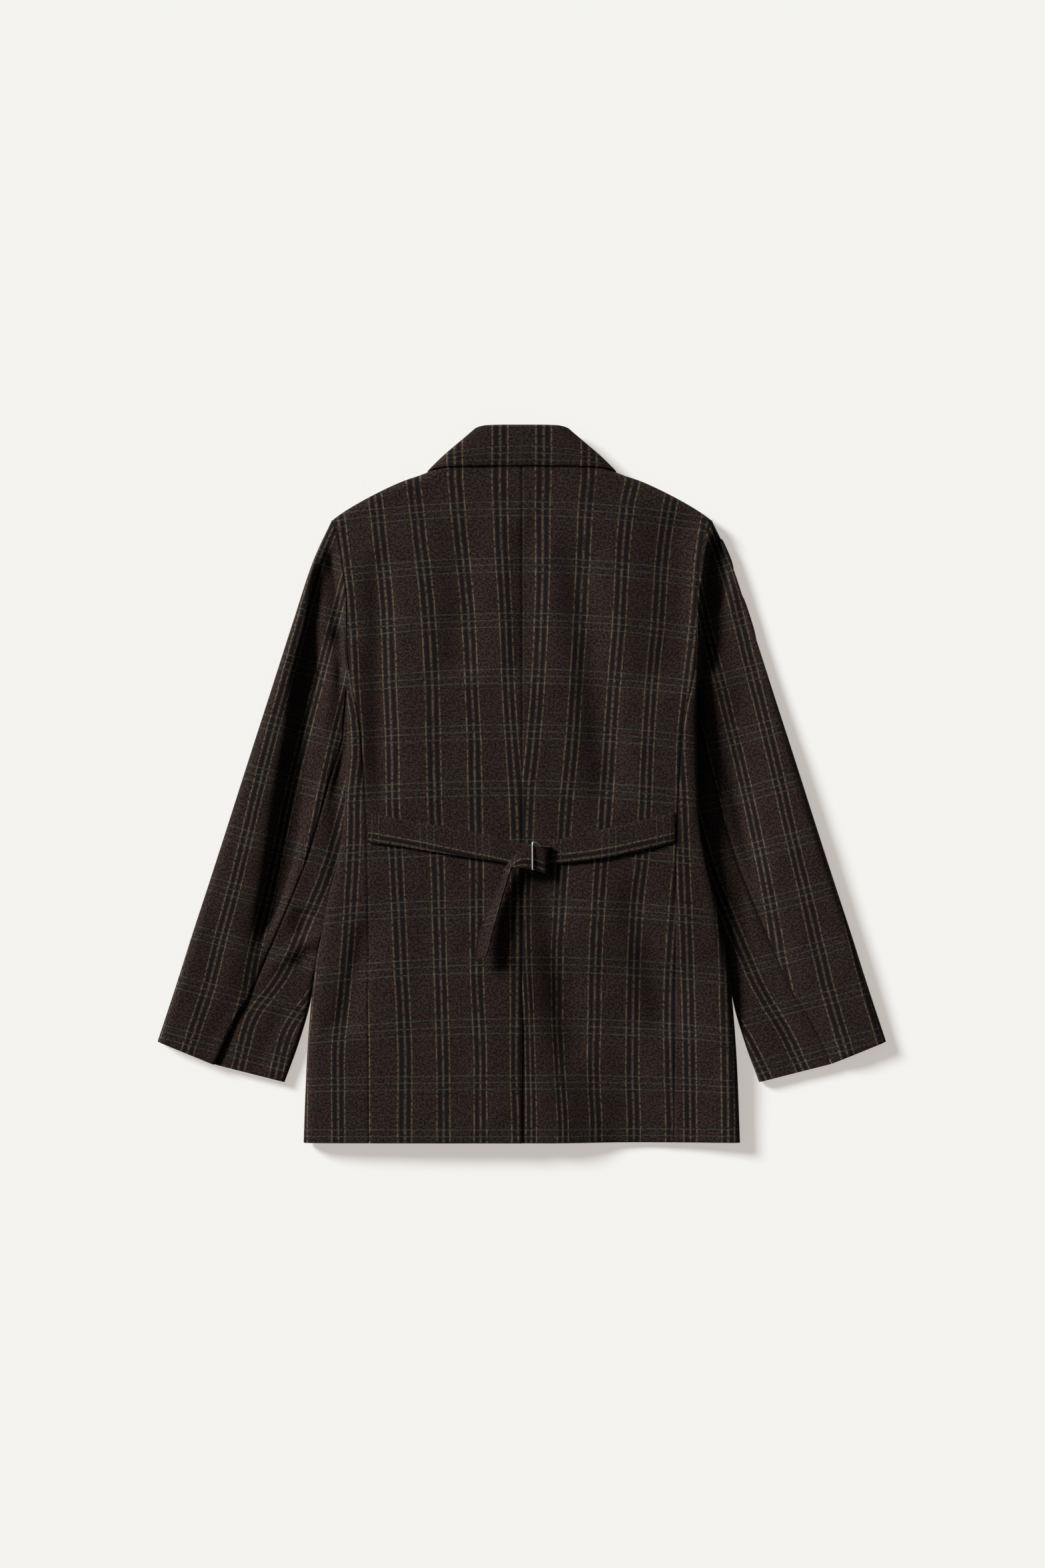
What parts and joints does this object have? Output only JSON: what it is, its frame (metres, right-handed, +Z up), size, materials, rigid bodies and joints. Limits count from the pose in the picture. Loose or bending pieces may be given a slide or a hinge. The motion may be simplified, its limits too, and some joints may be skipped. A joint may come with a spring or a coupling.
{
  "type": "blazer",
  "caption": "Wool blazer in a windowpane plaid, laid flat with its back up: notched collar, two-piece sleeves, half belts on a D-ring and a centre back vent.",
  "frame": {"origin": "centre of the garment's outline, on the surface it lies on", "axes": "+Z up from the surface, +Y from hem to collar, +X towards the wearer's right sleeve"},
  "size_m": [0.804, 0.7911, 0.0507],
  "materials": {
    "wool": "brushed dark brown wool, matt, with ochre and green plaid lines",
    "ring_metal": "polished thin wire"
  },
  "bodies": {
    "root": {"back_left": "wool", "back_right": "wool", "side_left": "wool", "side_right": "wool", "front_left": "wool", "front_right": "wool", "lapel_left": "wool", "lapel_right": "wool", "collar": "wool", "upper_sleeve_left": "wool", "upper_sleeve_right": "wool", "under_sleeve_left": "wool", "under_sleeve_right": "wool", "belt_left": "wool", "belt_right": "wool", "ring": "ring_metal"}
  },
  "joints": []
}
